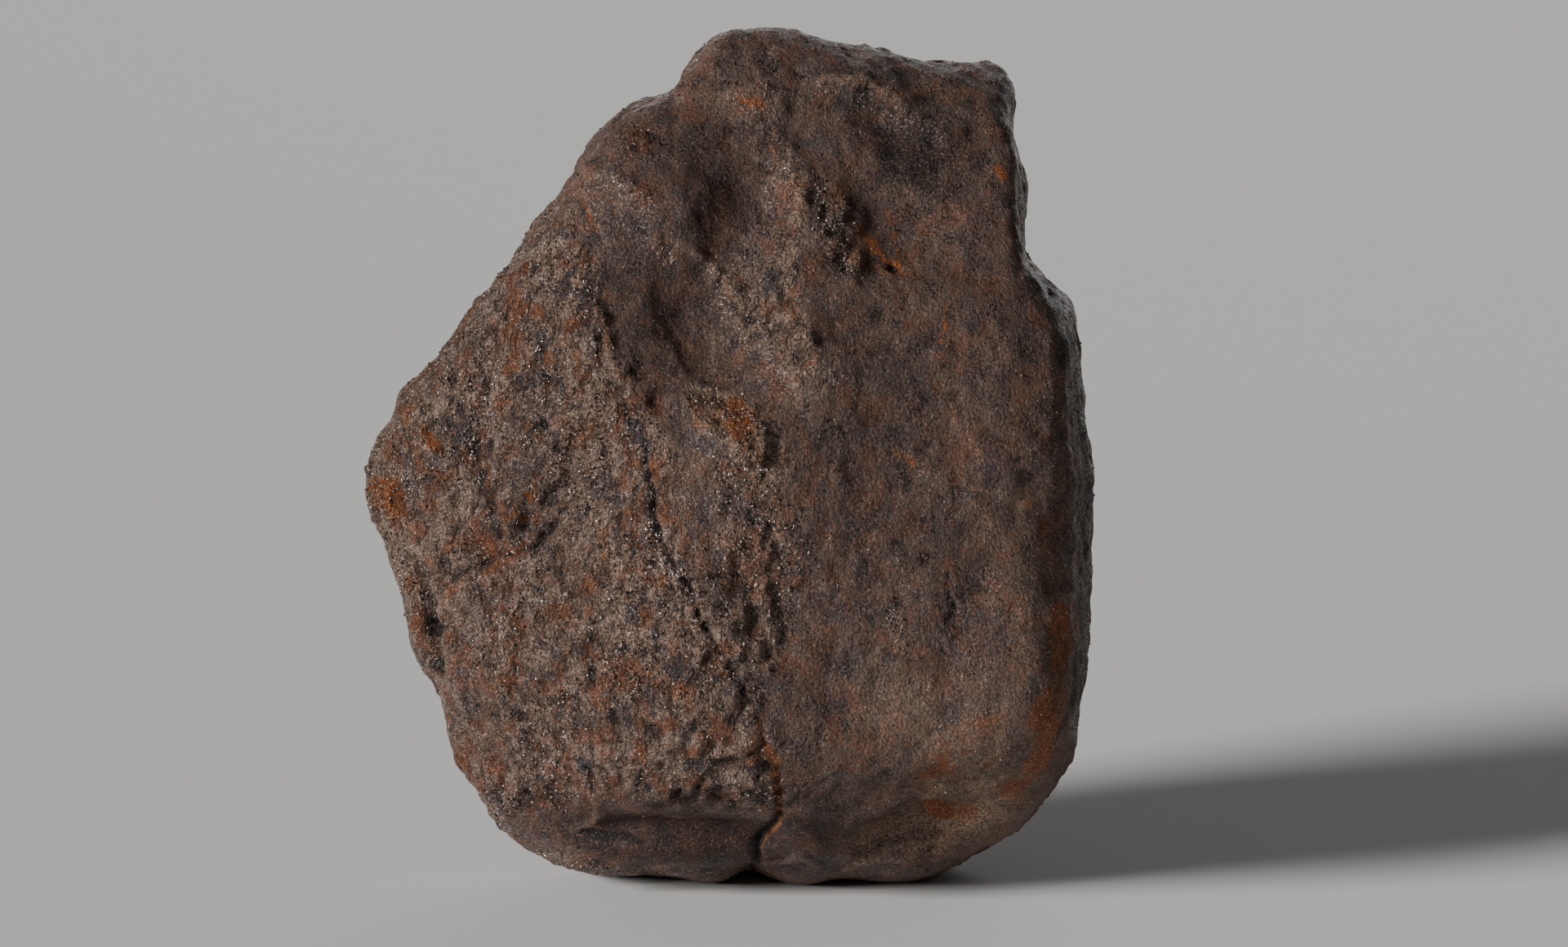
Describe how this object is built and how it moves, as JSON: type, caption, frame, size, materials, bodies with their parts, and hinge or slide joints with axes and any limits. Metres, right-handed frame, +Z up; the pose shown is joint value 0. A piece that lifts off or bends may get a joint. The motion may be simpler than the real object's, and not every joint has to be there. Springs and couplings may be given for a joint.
{
  "type": "eucrite meteorite",
  "caption": "Weathered stone meteorite with a dark brown crust, thumbprint-like hollows and a slanting ridge, standing upright on a small flat spot.",
  "frame": {"origin": "on the flat spot that the stone rests on, straight under the middle of the picture frame in which it was shaped", "axes": "+Z up along the stone's longest extent as it stands, -Y out of its broad face that is split by the slanting ridge, +X to the right of that face"},
  "size_m": [0.0844, 0.0617, 0.0985],
  "materials": {
    "crust": "weathered fusion crust: dark chocolate brown with a low satin gloss, rust-orange stains, grey dusty hollows and fine granular specks"
  },
  "bodies": {
    "root": {"stone": "crust"}
  },
  "joints": []
}
